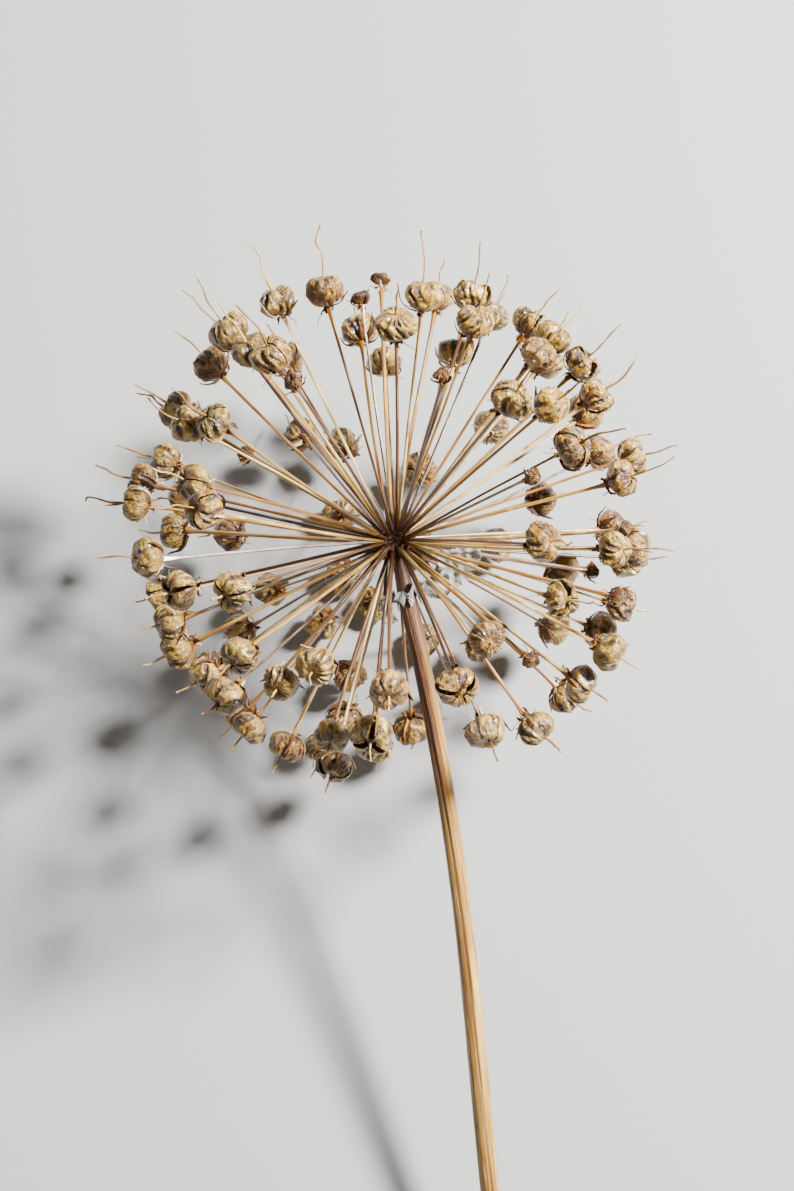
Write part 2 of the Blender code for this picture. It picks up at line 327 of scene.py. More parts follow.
def tube(path, radii, sides=8, start=None):
    """Rows of points round a path. radii has one value for each row, or one for each point."""
    across, over = frames_along(path, start)
    angles = np.linspace(0, 2 * math.pi, sides, endpoint=False)
    radii = np.asarray(radii, float)
    radii = radii[:, None] if radii.ndim == 1 else radii
    ring = across[:, None] * np.cos(angles)[None, :, None]
    ring = ring + over[:, None] * np.sin(angles)[None, :, None]
    return path[:, None] + ring * radii[..., None]


def strip(path, widths, thickness, start, cup=0.0, points=4):
    """Rows round a flat ribbon along a path: its upper side, then its under side backwards."""
    across, over = frames_along(path, start)
    share = np.linspace(-1, 1, points)
    widths = np.asarray(widths)[:, None, None]
    flat = path[:, None] + across[:, None] * share[None, :, None] * widths / 2
    flat = flat + over[:, None] * (share**2)[None, :, None] * widths * cup
    return shell(flat + over[:, None] * thickness / 2, flat - over[:, None] * thickness / 2)


def shell(outer, inner):
    """Rows of points or values that go along a skin's outside and back along its inside."""
    return np.concatenate([outer, inner[:, ::-1]], axis=1)


def grid_faces(rows, columns, flat_ends):
    """Quads between the rows of a closed form, and its two end caps."""
    i, j = np.meshgrid(np.arange(rows - 1), np.arange(columns), indexing="ij")
    k = (j + 1) % columns
    quads = np.stack([i * columns + j, i * columns + k, (i + 1) * columns + k], -1)
    quads = np.concatenate([quads, ((i + 1) * columns + j)[..., None]], -1).reshape(-1, 4)
    faces = [tuple(f) for f in quads.tolist()]
    last = (rows - 1) * columns
    if not flat_ends:
        faces.append(tuple(range(columns - 1, -1, -1)))
        faces.append(tuple(range(last, last + columns)))
        return faces
    for m in range(columns // 2 - 1):
        n = columns - 1 - m
        faces.append((n, n - 1, m + 1, m))
        faces.append((last + m, last + m + 1, last + n - 1, last + n))
    return faces


class Piece:
    """One mesh, gathered from closed grids, with values that its materials read."""

    def __init__(self, name):
        self.name = name
        self.points, self.faces, self.slots = [], [], []
        self.values = {"tone": [], "crease": [], "along": []}
        self.grain = []
        self.count = 0

    def add(self, rows, slot=0, grain=None, flat_ends=False, **values):
        """Adds a grid. A value is a number for all of it, or an array with one for each point."""
        shape = rows.shape[:2]
        points = rows.reshape(-1, 3)
        faces = grid_faces(*shape, flat_ends)
        corners = np.array([f[:3] for f in faces[: (shape[0] - 1) * shape[1]]])
        a, b, c = (points[corners[:, n]] - points.mean(0) for n in range(3))
        if np.einsum("ij,ij->i", a, np.cross(b, c)).sum() < 0:
            faces = [f[::-1] for f in faces]
        self.faces += [tuple(v + self.count for v in f) for f in faces]
        self.slots += [slot] * len(faces)
        self.points.append(points)
        for name, kept in self.values.items():
            value = values.get(name, 0.0)
            kept.append(np.broadcast_to(np.asarray(value, float), shape).reshape(-1))
        grain = points / MM if grain is None else grain.reshape(-1, 3)
        self.grain.append(np.broadcast_to(grain, points.shape))
        self.count += len(points)

    def make(self, materials, slot, *nodes, sharp=50):
        """The Blender object, resting on the floor, in place of the CAD nodes it shows."""
        points = np.concatenate(self.points)
        points[:, 2] = np.maximum(points[:, 2], FLOOR_GAP)
        mesh = bpy.data.meshes.new(self.name)
        mesh.from_pydata(points.tolist(), [], self.faces)
        mesh.polygons.foreach_set("material_index", self.slots)
        for name, kept in self.values.items():
            layer = mesh.attributes.new(name, "FLOAT", "POINT")
            layer.data.foreach_set("value", np.concatenate(kept).astype(np.float32))
        layer = mesh.attributes.new("grain", "FLOAT_VECTOR", "POINT")
        layer.data.foreach_set("vector", np.concatenate(self.grain).astype(np.float32).ravel())
        for material in materials:
            mesh.materials.append(material)
        mesh.update()
        mesh.shade_smooth()
        mesh.set_sharp_from_angle(angle=math.radians(sharp))
        obj = bpy.data.objects.new(self.name, mesh)
        bpy.context.scene.collection.objects.link(obj)
        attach(obj, "root")
        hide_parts(*nodes)
        return obj


# Materials


def rgb(code):
    """Linear colour of a hex code."""
    parts = [int(code[i : i + 2], 16) / 255 for i in (0, 2, 4)]
    return tuple(((p + 0.055) / 1.055) ** 2.4 if p > 0.04 else p / 12.92 for p in parts)


class Paint:
    """Builds a material's node tree around its Principled BSDF."""

    def __init__(self, name, **constants):
        self.material = bpy.data.materials.new(name)
        self.material.use_nodes = True
        self.tree = self.material.node_tree
        self.shader = self.tree.nodes["Principled BSDF"]
        for socket, value in constants.items():
            self.shader.inputs[socket.replace("_", " ")].default_value = value

    def node(self, kind, inputs=None, **settings):
        made = self.tree.nodes.new(kind)
        for name, value in settings.items():
            setattr(made, name, value)
        for name, value in (inputs or {}).items():
            self.put(value, made.inputs[name])
        return made

    def put(self, value, socket):
        if isinstance(value, bpy.types.NodeSocket):
            self.tree.links.new(value, socket)
        elif isinstance(value, tuple) and len(value) == 3 and socket.type == "RGBA":
            socket.default_value = (*value, 1)
        else:
            socket.default_value = value

    def read(self, name):
        """A value that the mesh carries: tone, crease, along or the vector grain."""
        made = self.node("ShaderNodeAttribute", attribute_name=name)
        return made.outputs["Vector" if name == "grain" else "Fac"]

    def noise(self, scale, detail=3.0, rough=0.55, stretch=None, shift=0.0, warp=0.0):
        """Noise over the grain in cycles to the millimetre; stretch sets them for each axis."""
        vector = self.read("grain")
        if stretch or shift:
            mapped = self.node("ShaderNodeMapping", {"Vector": vector})
            mapped.inputs["Scale"].default_value = stretch or (1, 1, 1)
            mapped.inputs["Location"].default_value = (shift, shift, shift)
            vector = mapped.outputs["Vector"]
        values = {"Vector": vector, "Scale": scale, "Detail": detail}
        values.update({"Roughness": rough, "Distortion": warp})
        return self.node("ShaderNodeTexNoise", values).outputs["Fac"]

    def cells(self, scale, distance="EUCLIDEAN"):
        """Distance from the middles of irregular cells; CHEBYCHEV and MANHATTAN give facets."""
        made = self.node("ShaderNodeTexVoronoi", {"Vector": self.read("grain"), "Scale": scale})
        made.distance = distance
        return made.outputs["Distance"]

    def ridges(self, scale, detail):
        """Sharp creases where a noise passes its middle value."""
        noise = self.noise(scale, detail, 0.55, shift=15, warp=0.4)
        return self.times(self.calculate("ABSOLUTE", self.minus(noise, 0.5)), 4)

    def span(self, value, low, high, to_low=0.0, to_high=1.0):
        """Value as a share of low to high, kept within to_low and to_high."""
        values = {"Value": value, "From Min": low, "From Max": high}
        values.update({"To Min": to_low, "To Max": to_high})
        return self.node("ShaderNodeMapRange", values).outputs["Result"]

    def ramp(self, value, *stops):
        made = self.node("ShaderNodeValToRGB", {"Fac": value})
        elements = made.color_ramp.elements
        while len(elements) < len(stops):
            elements.new(0.5)
        for element, (place, code) in zip(elements, stops):
            element.position = place
            element.color = (*rgb(code), 1)
        return made.outputs["Color"]

    def mix(self, share, first, second):
        made = self.node("ShaderNodeMix", data_type="RGBA")
        for socket, value in zip((0, 6, 7), (share, first, second)):
            self.put(value, made.inputs[socket])
        return made.outputs[2]

    def tint(self, colour, code, share):
        """Mixes a hex colour into another colour."""
        return self.mix(share, colour, rgb(code))

    def calculate(self, operation, first, second=0.0):
        made = self.node("ShaderNodeMath", operation=operation)
        self.put(first, made.inputs[0])
        self.put(second, made.inputs[1])
        return made.outputs[0]

    def sum(self, first, *others):
        for other in others:
            first = self.calculate("ADD", first, other)
        return first

    def minus(self, first, second):
        return self.calculate("SUBTRACT", first, second)

    def times(self, first, second):
        return self.calculate("MULTIPLY", first, second)

    def bump(self, height, distance, strength=1.0):
        values = {"Height": height, "Distance": distance, "Strength": strength}
        return self.node("ShaderNodeBump", values).outputs["Normal"]

    def finish(self, colour, roughness=None, normal=None):
        for name, value in (("Base Color", colour), ("Roughness", roughness), ("Normal", normal)):
            if value is not None:
                self.put(value, self.shader.inputs[name])
        return self.material


def capsule_skin():
    """Papery, glossy straw skin with a few dark pits, painted highlights in pale patches, and
    painted shade in its creases and towards its foot.
    """
    p = Paint("capsule_skin", Coat_Weight=0.45, Coat_Roughness=0.25, Specular_IOR_Level=0.65)
    tone, mottle = p.read("tone"), p.noise(0.45, 4, 0.6, warp=0.4)
    colour = p.ramp(mottle, (0.28, "84560C"), (0.43, "B2821E"), (0.6, "D6AA3E"), (0.76, "F8E08A"))
    olive = p.ramp(mottle, (0.3, "644A04"), (0.5, "98740E"), (0.74, "D2AE40"))
    colour = p.mix(p.span(tone, 0.6, 0.85, 0, 0.75), colour, olive)
    rusty = p.ramp(mottle, (0.3, "5E3606"), (0.5, "905C0E"), (0.76, "CA9430"))
    colour = p.mix(p.span(tone, 0.4, 0.05, 0, 0.7), colour, rusty)
    veins = p.noise(1.0, 3, 0.6, stretch=(3.6, 3.6, 0.6), shift=7, warp=0.4)
    colour = p.tint(colour, "553206", p.span(veins, 0.53, 0.66, 0, 0.8))
    # Painted highlight: pale patches drawn on the skin as light falling on it.
    painted_highlights = p.noise(1.3, 3, 0.6, shift=21)
    colour = p.tint(colour, "FBF0BE", p.span(painted_highlights, 0.58, 0.74, 0, 0.5))
    # Painted shade: darker towards the foot, where the capsule turns in to its stalk.
    colour = p.tint(colour, "4A2606", p.span(p.read("along"), 0.28, 0.03, 0, 0.85))
    # Painted shade in the creases, splits, folds and dents.
    colour = p.tint(colour, "361A04", p.span(p.read("crease"), 0.0, 0.85, 0, 0.95))
    pits = p.span(p.cells(0.9), 0.16, 0.08)
    pits = p.times(pits, p.span(p.noise(0.6, 1, shift=3), 0.48, 0.56))
    colour = p.tint(colour, "2C1A0D", p.times(pits, 0.85))
    folds = p.ridges(0.6, 1)
    facets = p.sum(p.cells(0.6, "CHEBYCHEV"), p.cells(1.2, "MANHATTAN"))
    height = p.sum(p.times(veins, 1.2), p.times(folds, 0.3), p.times(facets, 0.6))
    height = p.sum(height, p.times(p.noise(2.5, 3, 0.6), 0.15), p.times(pits, -0.8))
    rough = p.span(p.noise(1.4, 2, shift=11), 0.3, 0.75, 0.26, 0.44)
    return p.finish(colour, rough, p.bump(height, 0.32 * MM, 0.95))


def shrunk_skin():
    """Dull brown skin of a floret that set no seed, with painted shade in its creases."""
    p = Paint("shrunk_skin", Coat_Weight=0.15, Specular_IOR_Level=0.45)
    colour = p.ramp(p.noise(1.1, 4, 0.6), (0.3, "3C2006"), (0.5, "74460E"), (0.72, "B4822E"))
    # Painted shade in the creases.
    colour = p.tint(colour, "221006", p.span(p.read("crease"), 0, 1, 0, 0.85))
    return p.finish(colour, 0.5, p.bump(p.ridges(1.6, 3), 0.2 * MM))


def stalk_skin():
    """Smooth tan to brown bark with fine lines along it, and painted shade that darkens it towards
    the receptacle.
    """
    p = Paint("stalk_skin", Coat_Weight=0.5, Coat_Roughness=0.2, Specular_IOR_Level=0.5)
    tone = p.sum(p.read("tone"), p.times(p.noise(0.22, 2), 0.4))
    browns = (0.25, "301602"), (0.48, "603606"), (0.74, "966212")
    colour = p.ramp(tone, *browns, (0.98, "CC9E3C"), (1.2, "F2D282"))
    lines = p.noise(1.0, 2, 0.55, stretch=(3.2, 3.2, 0.12), shift=5)
    colour = p.tint(colour, "5A2C0E", p.span(lines, 0.5, 0.62, 0, 0.75))
    colour = p.tint(colour, "F2D89C", p.span(lines, 0.42, 0.3, 0, 0.5))
    # Painted shade: darker towards the receptacle, deep inside the head.
    colour = p.tint(colour, "3F1C0A", p.span(p.read("along"), 0.26, 0.0, 0, 0.85))
    colour = p.tint(colour, "8A5608", p.span(p.read("along"), 0.9, 0.99, 0, 0.7))
    return p.finish(colour, p.span(lines, 0.3, 0.7, 0.25, 0.42), p.bump(lines, 0.12 * MM))


def tepal_skin():
    """Shrivelled brown tepals and filaments; a high tone is faded pale, a low one nearly black."""
    p = Paint("tepal_skin", Specular_IOR_Level=0.4)
    tone = p.sum(p.read("tone"), p.times(p.noise(0.9, 3), 0.3))
    colour = p.ramp(tone, (0.2, "2A1404"), (0.5, "5E320C"), (0.8, "9C6822"), (1.1, "DCC9A2"))
    lines = p.noise(1.0, 2, 0.6, stretch=(6, 6, 1))
    return p.finish(colour, 0.55, p.bump(lines, 0.08 * MM))


def style_skin():
    """Tan thread, paler at its tip."""
    p = Paint("style_skin", Specular_IOR_Level=0.5)
    colour = p.ramp(p.read("tone"), (0.0, "70440C"), (0.5, "A87A28"), (1.0, "D8B462"))
    colour = p.tint(colour, "EADFC8", p.span(p.read("along"), 0.85, 1.0, 0, 0.5))
    lines = p.noise(1.0, 2, 0.6, stretch=(9, 9, 0.6))
    colour = p.tint(colour, "5F3818", p.span(lines, 0.5, 0.7, 0, 0.4))
    return p.finish(colour, 0.4, p.bump(lines, 0.04 * MM))


def receptacle_skin():
    """Dark brown, rough and dull."""
    p = Paint("receptacle_skin", Specular_IOR_Level=0.35)
    mottle = p.noise(1.6, 5, 0.65)
    colour = p.ramp(mottle, (0.3, "24130A"), (0.5, "4A2A15"), (0.7, "7E5029"))
    return p.finish(colour, 0.7, p.bump(mottle, 0.25 * MM))


def scape_skin():
    """Straw-coloured rind with long fibres, reddish-brown under the head, with painted shade on
    its left face and in its furrow.
    """
    p = Paint("scape_skin", Coat_Weight=0.45, Coat_Roughness=0.25, Specular_IOR_Level=0.5)
    broad = p.noise(0.6, 3, 0.55, stretch=(1, 1, 0.05))
    colour = p.ramp(broad, (0.3, "9A6414"), (0.48, "C28C2E"), (0.64, "DEB256"), (0.8, "F4D88E"))
    # Painted shade: tone here is the stem's left face, drawn in these darker colours.
    shaded = p.ramp(broad, (0.3, "4E3006"), (0.55, "76500E"), (0.8, "A07426"))
    colour = p.mix(p.read("tone"), colour, shaded)
    fibres = p.noise(1.0, 4, 0.65, stretch=(4, 4, 0.11), shift=2)
    colour = p.tint(colour, "7E4E18", p.span(fibres, 0.48, 0.66, 0, 0.6))
    colour = p.tint(colour, "F8E4B0", p.span(fibres, 0.45, 0.3, 0, 0.45))
    streaks = p.noise(1.0, 2, 0.5, stretch=(1.7, 1.7, 0.05), shift=13)
    colour = p.tint(colour, "6A3C0A", p.span(streaks, 0.55, 0.64, 0, 0.8))
    reach = p.sum(p.read("along"), p.times(fibres, 0.12))
    # The reddish-brown is the stem's own colour; painted shade lets it reach further down on the
    # left face.
    reach = p.minus(reach, p.times(p.read("tone"), 0.16))
    ruddy = p.ramp(fibres, (0.36, "9A5608"), (0.46, "602802"), (0.6, "260A00"))
    colour = p.mix(p.span(reach, 0.27, 0.13, 0, 0.94), colour, ruddy)
    colour = p.tint(colour, "5B3517", p.span(p.cells(0.55), 0.12, 0.05, 0, 0.5))
    # Painted shade in the furrow.
    colour = p.tint(colour, "4A260A", p.read("crease"))
    rough = p.span(fibres, 0.3, 0.7, 0.33, 0.5)
    height = p.sum(fibres, p.times(broad, 0.6))
    return p.finish(colour, rough, p.bump(height, 0.2 * MM))


def pith_skin():
    """Pale foam of the cut end."""
    p = Paint("pith_skin", Specular_IOR_Level=0.2)
    pores = p.cells(3.2)
    colour = p.ramp(pores, (0.1, "8C6B42"), (0.35, "D9C7A2"), (0.6, "EFE6D0"))
    return p.finish(colour, 0.9, p.bump(pores, 0.15 * MM))


def spathe_skin():
    """Bleached grey paper with fine veins and black specks of mould."""
    p = Paint("spathe_skin", Specular_IOR_Level=0.35, Sheen_Weight=0.15)
    mottle = p.noise(0.5, 4, 0.6)
    colour = p.ramp(mottle, (0.3, "6E675E"), (0.48, "A39D95"), (0.66, "CFCBC6"), (0.8, "EDEBE8"))
    veins = p.noise(1.0, 3, 0.6, stretch=(0.6, 5, 5), shift=4)
    colour = p.tint(colour, "7D6E5C", p.span(veins, 0.52, 0.72, 0, 0.5))
    specks = p.span(p.cells(1.5), 0.2, 0.1)
    specks = p.times(specks, p.span(p.noise(0.35, 2, shift=9), 0.47, 0.56))
    colour = p.tint(colour, "1C1815", p.times(specks, 0.9))
    return p.finish(colour, 0.7, p.bump(veins, 0.12 * MM))


# Pieces


def capsule_frame(floret, hub):
    """The capsule's own axes: columns across, across and along, and its foot."""
    turn = floret.axis.to_track_quat("Z", "Y").to_matrix()
    turn = turn @ Matrix.Rotation(floret.twist, 3, "Z")
    return np.array(turn), np.array(floret.foot + hub)


def add_placed(piece, place, rows, slot, tone, flat_ends=False, shift=0.0, **values):
    """Adds a grid from a capsule's own frame. The shift moves its points but not its grain."""
    turn, foot = place
    points = ((rows + shift) * MM) @ turn.T + foot
    piece.add(points, slot, rows + GRAIN_APART * tone, flat_ends, tone=tone, **values)


class CapsuleShape:
    """The skin of one capsule, in millimetres round its foot."""

    def __init__(self, floret, rng):
        self.width = floret.width / MM
        self.height = floret.height / MM
        own = self.rng = random.Random(rng.random())
        self.grooves = [own.uniform(0.08, 0.25) for _ in range(3)]
        self.lobes = [own.uniform(-0.08, 0.05) for _ in range(3)]
        self.seam = own.uniform(0.03, 0.08)
        self.wrinkle = own.uniform(0.028, 0.05) * (1.8 if floret.shrunk else 1)
        self.sway = own.uniform(-0.3, 0.3)
        self.dents = []
        for _ in range(16 if floret.shrunk else 12):
            way = unit(scatter(own, 1))
            depth = own.uniform(0.6, 0.88) if floret.shrunk else own.uniform(0.84, 0.98)
            self.dents.append((way, depth))
        self.waves = own.random()

    def per_third(self, around, values, first):
        """Blends three values round the axis, each strongest at its own angle."""
        angles = [first + n * THIRD for n in range(3)]
        weights = [np.clip(np.cos(around - angle), 0, 1) ** 2 for angle in angles]
        return sum(w * v for w, v in zip(weights, values)) / sum(weights)

    def skin(self, around, up):
        """Points for angles round the axis and shares of the way from foot to tip, and how much
        painted shade darkens each point in its creases.
        """
        rng = random.Random(self.waves)
        polar = math.pi * up
        belly = np.sin(polar)
        radius = self.width / 2 * np.abs(belly) ** 0.92
        level = self.height * (0.5 - 0.5 * np.cos(polar))
        dimple = 0.17 * self.height * np.exp(-((radius / (0.2 * self.width)) ** 2))
        level = level - dimple * (up > 0.5)
        hold = np.clip(belly, 0, 1) ** 0.5
        soft = crinkle(rng, around, polar, 4, 3)
        bent = around + self.sway * np.sin(2 * polar) * hold + 0.05 * soft
        rib = np.abs(np.cos(1.5 * bent))
        groove = self.per_third(around, self.grooves, math.pi / 3)
        lobe = 1 - (1 - rib**0.6) * groove * hold + self.per_third(around, self.lobes, 0)
        seam = np.abs(np.sin(1.5 * bent)) * 2 / 3
        cut = np.exp(-((seam / 0.045) ** 2)) * smoothstep(0.25, 0.5, up)
        lip = np.exp(-(((seam - 0.11) / 0.05) ** 2)) * smoothstep(0.3, 0.6, up)
        fold = crinkle(rng, bent, polar, 5, 10, seams=True, slope=0.3)
        fine = crinkle(rng, bent + 0.1 * fold, polar, 5, 22, seams=True, slope=0.4)
        pinch = np.sin(rng.randint(12, 19) * bent + 3 * soft) * np.abs(np.cos(polar)) ** 1.5
        scale = lobe + hold * (self.seam * (0.5 * lip - cut) + 0.02 * soft)
        scale = scale + hold * self.wrinkle * (1.1 * fold + 0.42 * fine + 0.8 * pinch)
        way = round_axis(belly, around, -np.cos(polar))
        for normal, depth in self.dents:
            limit = depth / np.clip(way @ normal, 0.3, None)
            gap = np.clip((scale - limit) / 0.05, -1, 1)
            scale = np.minimum(scale, limit) - 0.0125 * (1 - np.abs(gap)) ** 2
        middle = 0.45 * self.height
        points = round_axis(radius * scale, around, middle + (level - middle) * scale)
        # Painted shade: how much darker each point is drawn, in the grooves between the lobes, the
        # splits, the folds and the dents.
        valley = np.exp(-((rib / 0.09) ** 2)) * smoothstep(0.05, 0.2, groove) * 0.8
        sunk = smoothstep(0.06, 0.26, 1 - scale) * 0.55
        crease = valley + cut * 0.8 + smoothstep(-0.2, -0.9, fold) * 0.6 + sunk
        crease = crease + smoothstep(-0.3, -1.1, fine) * 0.4
        return points, np.clip(crease, 0, 1) * np.clip(hold * 1.3, 0, 1)


def add_closed_capsule(piece, shape, place, slot, tone):
    """The whole skin as one closed form."""
    around, up = lattice(84, (0.07, 0.965), 44)
    points, crease = shape.skin(around, up)
    turn, foot = place
    grain = (points + GRAIN_APART * tone) * (1, 1, 0.6)
    piece.add((points * MM) @ turn.T + foot, slot, grain, tone=tone, crease=crease, along=up)


def add_split_capsule(piece, shape, place, slot, tone, openness):
    """Three valves that part along the middle of each lobe and lean outwards from the foot."""
    for valve in range(3):
        middle = (valve + 0.5) * THIRD
        lean = openness * shape.rng.uniform(0.7, 1.3)
        half = THIRD / 2 * (0.98 - 0.06 * openness)
        share, up = np.meshgrid(np.linspace(-1, 1, 27), np.linspace(0.07, 0.95, 38))
        narrow = 1 - smoothstep(0.72, 1.0, up) * 0.35 * openness
        around = middle + share * half * narrow
        outer, crease = shape.skin(around, up)
        curl = smoothstep(0.72, 1.0, np.abs(share)) * smoothstep(0.2, 0.6, up)
        ragged = 1 + 0.4 * crinkle(shape.rng, share * 3, up * 5, 4, 4)
        curl = curl * (0.1 + 0.25 * openness) * ragged
        core = np.array([0, 0, 0.45 * shape.height])
        away = unit(outer - core)
        outer = outer + away * curl[..., None]
        inner = outer - away * SKIN_THICKNESS
        out = outward(middle)
        for grid in (outer, inner):
            bend = lean * 0.42 * smoothstep(0.0, 1.0, up)
            rise, reach = grid[..., 2].copy(), grid @ out
            tipped = reach + rise * np.sin(bend) - reach * (1 - np.cos(bend)) * 0.3
            grid += (tipped - reach)[..., None] * out
            grid[..., 2] = rise * np.cos(bend) - reach * np.sin(bend) * 0.45
        # Painted shade: the inside of each valve is drawn darker than its outside.
        crease, along = shell(crease, 0.3 + 0.3 * crease), shell(up, up)
        add_placed(piece, place, shell(outer, inner), slot, tone, True, crease=crease, along=along)


def add_partition(piece, shape, place, slot, tone):
    """What the split valves leave in the middle: the thin core that carries the style."""
    steps = np.linspace(0.06, 0.8, 8)
    path = np.stack([0 * steps, 0 * steps, steps * shape.height], -1)
    radii = 0.5 * np.sin(np.linspace(0.5, 2.6, 8)) + 0.18
    sides = 9
    angles = np.linspace(0, 2 * math.pi, sides, endpoint=False)
    star = 1 + 1.3 * (np.cos(3 * (angles - math.pi / 3)) > 0.4)
    rows = tube(path, radii[:, None] * star[None], sides, (1, 0, 0))
    # Painted shade: the core inside the split capsule is drawn darker.
    add_placed(piece, place, rows, slot, tone, crease=0.6, along=0.4)


def make_capsule(number, node, floret, hub, rng, materials):
    """One capsule as its own piece: closed, split, or shrunk to a knob."""
    piece = Piece(f"capsule_{number:03d}")
    place = capsule_frame(floret, hub)
    shape = CapsuleShape(floret, rng)
    tone = rng.random()
    chance = rng.random()
    slot = 1 if floret.shrunk else 0
    if floret.shrunk or chance < CLOSED_SHARE:
        add_closed_capsule(piece, shape, place, slot, tone)
    else:
        openness = LEAST_OPEN + MORE_OPEN * ((chance - CLOSED_SHARE) / (1 - CLOSED_SHARE)) ** 2
        add_split_capsule(piece, shape, place, slot, tone, openness)
        add_partition(piece, shape, place, slot, tone)
    return piece.make(materials, "seed_capsule", node)


def add_stalk(piece, floret, hub, rng, sunk):
    """A thin stalk with blunt ridges, wider where it meets the receptacle and the capsule."""
    root = floret.root * (1 - 0.14 * sunk) + hub
    path = rows_along([root, floret.bow + hub, floret.foot + hub], 26)
    share = np.linspace(0, 1, len(path))
    sides = 10
    angles = np.linspace(0, 2 * math.pi, sides, endpoint=False)
    thick = STALK_RADIUS * rng.uniform(0.8, 1.22)
    swell = 1 + 1.1 * smoothstep(0.94, 1.0, share) + 0.3 * smoothstep(0.12, 0.0, share)
    ridges = 1 + 0.11 * np.cos(rng.choice((2, 3, 4)) * angles + rng.uniform(0, 6))
    wander = 1 + 0.04 * crinkle(rng, 4 * share, 0 * share, 4, 7)
    radii = thick * (swell * wander)[:, None] * ridges[None]
    rows = tube(path, radii, sides)
    ring = np.stack([np.cos(angles), np.sin(angles)], -1) * 0.45
    shift = rng.uniform(0, 90)
    length = np.linalg.norm(path - path[0], axis=1) / MM
    across = np.broadcast_to(ring[None], (len(path), sides, 2))
    lengths = np.broadcast_to(length[:, None, None], (len(path), sides, 1))
    grain = np.concatenate([across, lengths], -1)
    tone = min(1, max(0, rng.gauss(0.48, 0.28)))
    piece.add(rows, 0, grain + shift, tone=tone, along=share[:, None])


def tepal_path(angle, out, floret, size, rng):
    """Five points of a withered tepal: up the capsule's side, or back and away from its foot."""
    up = np.array([0, 0, 1.0])
    steps = (0.0, 0.25, 0.5, 0.75, 1.0)
    if rng.random() < HUGGING_TEPALS:
        high = rng.uniform(0.28, 0.62)
        slant = rng.uniform(-0.25, 0.25)
        path = []
        for step in steps:
            polar = math.pi * (0.05 + high * step)
            turned = angle + slant * step
            radius = floret.width / MM / 2 * math.sin(polar) ** 0.92 * 1.03 + 0.14
            level = floret.height / MM * (0.5 - 0.5 * math.cos(polar))
            path.append(outward(turned) * radius + up * level)
        path[-1] = path[-1] + out * rng.uniform(0.0, 0.9)
        return path
    length = rng.uniform(1.0, 2.4) * size
    lift = rng.uniform(-1.1, 0.0)
    path = []
    for step in steps:
        wobble = scatter(rng, 0.13)
        reach = 0.45 + length * step * (0.85 - 0.4 * step * abs(lift))
        path.append(out * reach + up * (length * lift * step**1.6 - 0.2) + wobble * (step > 0))
    return path


def add_tepals(piece, floret, hub, rng):
    """Six withered tepals round the capsule's foot and curled filaments between them."""
    place = capsule_frame(floret, hub)
    size = floret.width / CAPSULE_WIDTH
    count = 11
    share = np.linspace(0, 1, count)
    for n in range(TEPALS):
        angle = n * 2 * math.pi / TEPALS + rng.uniform(-0.25, 0.25)
        out = outward(angle)
        path = rows_along(tepal_path(angle, out, floret, size, rng), count)
        widths = size * rng.uniform(0.6, 1.15) * (1 - share**2.2) ** 0.8 + 0.1
        rows = strip(path, widths, 0.09, np.cross((0, 0, 1.0), out), cup=rng.uniform(-0.6, 0.6))
        noise = np.array([rng.gauss(0, 0.05) for _ in range(rows.size)]).reshape(rows.shape)
        noise[:, rows.shape[1] // 2 :] = noise[:, : rows.shape[1] // 2][:, ::-1]
        tone = rng.choice((0.15, 0.25, 0.35, 0.45, 0.6, 0.8))
        add_placed(piece, place, rows, 0, tone, True, shift=noise)
    for n in range(rng.randint(2, 5)):
        angle = rng.uniform(0, 2 * math.pi)
        out = outward(angle)
        path = [out * 0.5]
        heading = out + np.array([0, 0, rng.uniform(-0.4, 1.2)])
        curl = scatter(rng, 0.55)
        for _ in range(6):
            heading = unit(heading + curl * 0.6 + scatter(rng, 0.12))
            path.append(path[-1] + heading * rng.uniform(0.5, 0.85) * size)
        rows = tube(rows_along(path, 15), np.linspace(0.11, 0.055, 15), 5)
        tone = rng.choice((0.3, 0.5, 0.75, 1.0))
        add_placed(piece, place, rows, 0, tone)


def add_style(piece, floret, hub, rng):
    """The withered style: a slightly kinked thread that sometimes hooks at its tip."""
    if not floret.style:
        return
    start, middle, tip = (np.array(p + hub) for p in floret.style)
    length = np.linalg.norm(tip - start)
    wobble = [scatter(rng, 0.03) * length for _ in range(3)]
    path = [start - (middle - start) * 0.12, start, (start + middle) / 2 + wobble[0]]
    path += [middle + wobble[0], (middle + tip) / 2 + wobble[1], tip]
    if rng.random() < 0.35:
        hook = (tip - middle) * 0.12 + wobble[2] * 2.5
        path.append(tip + hook)
    path = rows_along(path, 22)
    share = np.linspace(0, 1, len(path))
    taper = 0.27 - 0.12 * share + 0.05 * smoothstep(0.94, 0.99, share)
    radii = MM * rng.uniform(0.8, 1.15) * taper
    radii = radii * (1 + 0.12 * crinkle(rng, 6 * share, 0 * share, 3, 5))
    rows = tube(path, radii, 6)
    piece.add(rows, 0, tone=rng.random(), along=share[:, None])
    if rng.random() < 0.12:
        side = path[:12] + (share[:12, None] ** 1.5) * wobble[2] * 6
        piece.add(tube(side, radii[:12] * 0.6, 5), 0, tone=rng.random(), along=0.3)


